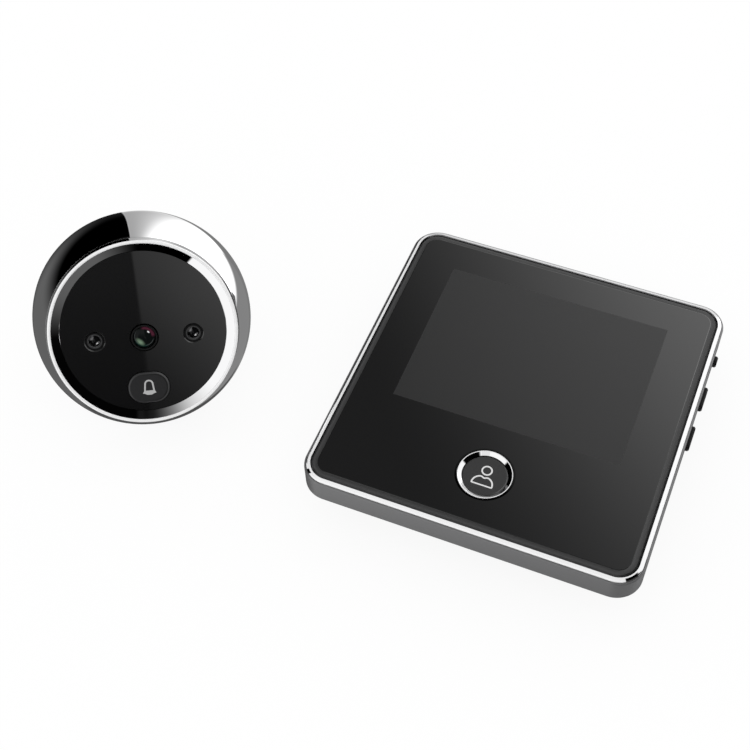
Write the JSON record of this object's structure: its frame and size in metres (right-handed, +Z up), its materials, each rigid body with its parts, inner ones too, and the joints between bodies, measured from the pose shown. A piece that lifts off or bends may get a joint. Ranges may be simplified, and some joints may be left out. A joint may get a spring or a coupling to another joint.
{
  "type": "peephole door camera",
  "caption": "Door viewer set: a round chrome outdoor camera with lens, infrared lamps and bell button, and a square indoor monitor with screen, round button and side keys.",
  "frame": {"origin": "middle of the monitor's flat back face, on the table", "axes": "+X to the monitor's right edge with the side buttons, +Y to its top edge, +Z up out of its screen"},
  "size_m": [0.1715, 0.0913, 0.0526],
  "materials": {
    "chrome_shell": "polished",
    "chrome_trim": "polished",
    "black_panel": "gloss",
    "black_plastic": "satin",
    "lens": "coated",
    "button_cap": "satin",
    "key_plastic": "satin",
    "case_metal": "satin metallic",
    "back_plastic": "fine grain",
    "rubber": "matte",
    "barrel_metal": "nickel plated",
    "circuit_board": "solder mask",
    "white_plastic": "satin",
    "switch_body": "satin",
    "screw_steel": "zinc plated",
    "display": "dark",
    "sheet_steel": "plain",
    "cell_jacket": "gloss",
    "contact_plate": "plated"
  },
  "bodies": {
    "case": {"camera_housing": "chrome_shell", "front_ring": "chrome_trim", "camera_panel": "black_panel", "lens_barrel": "black_plastic", "lens_glass": "lens", "lens_holder": "black_plastic", "image_sensor": "switch_body", "ir_led_left": "lens", "ir_led_right": "lens", "led_sleeves": "black_plastic", "bell_switch": "switch_body", "camera_board": "circuit_board", "board_screws": "screw_steel", "camera_connector": "white_plastic", "camera_back_plate": "back_plastic", "back_plate_screws": "screw_steel", "door_barrel": "barrel_metal", "door_seal": "rubber", "monitor_panel": "black_panel", "front_trim": "chrome_trim", "monitor_frame": "case_metal", "back_cover": "back_plastic", "batteries": "cell_jacket", "battery_contacts": "contact_plate", "lcd_module": "display", "lcd_frame": "sheet_steel", "lcd_gasket": "black_plastic", "lcd_pads": "black_plastic", "main_board": "circuit_board", "main_chips": "black_plastic", "button_ring": "chrome_trim", "main_switch": "switch_body", "button_board": "circuit_board", "side_switches": "switch_body", "speaker_frame": "sheet_steel", "speaker_cone": "black_plastic", "speaker_grille": "back_plastic", "cable_socket": "white_plastic", "case_screws": "screw_steel"},
    "main_button": {"main_button": "button_cap", "main_plunger": "white_plastic"},
    "power_button": {"power_button": "key_plastic", "power_plunger": "white_plastic"},
    "up_button": {"up_button": "key_plastic", "up_plunger": "white_plastic"},
    "down_button": {"down_button": "key_plastic", "down_plunger": "white_plastic"},
    "bell_button": {"bell_button": "black_plastic", "bell_plunger": "white_plastic"},
    "battery_door": {"battery_door": "back_plastic"}
  },
  "joints": [
    {"name": "main_press", "type": "slide", "parent": "case", "child": "main_button", "axis": [0, 0, -1], "range_m": [0, 0.0005], "stiffness_N_per_m": 2000},
    {"name": "power_press", "type": "slide", "parent": "case", "child": "power_button", "axis": [-1, 0, 0], "range_m": [0, 0.0005], "stiffness_N_per_m": 2000},
    {"name": "up_press", "type": "slide", "parent": "case", "child": "up_button", "axis": [-1, 0, 0], "range_m": [0, 0.0005], "stiffness_N_per_m": 2000},
    {"name": "down_press", "type": "slide", "parent": "case", "child": "down_button", "axis": [-1, 0, 0], "range_m": [0, 0.0005], "stiffness_N_per_m": 2000},
    {"name": "bell_press", "type": "slide", "parent": "case", "child": "bell_button", "axis": [-0.4755, 0.6545, -0.5879], "range_m": [0, 0.0006], "stiffness_N_per_m": 2000},
    {"name": "door_slide", "type": "slide", "parent": "case", "child": "battery_door", "axis": [0, -1, 0], "range_m": [0, 0.038]}
  ]
}
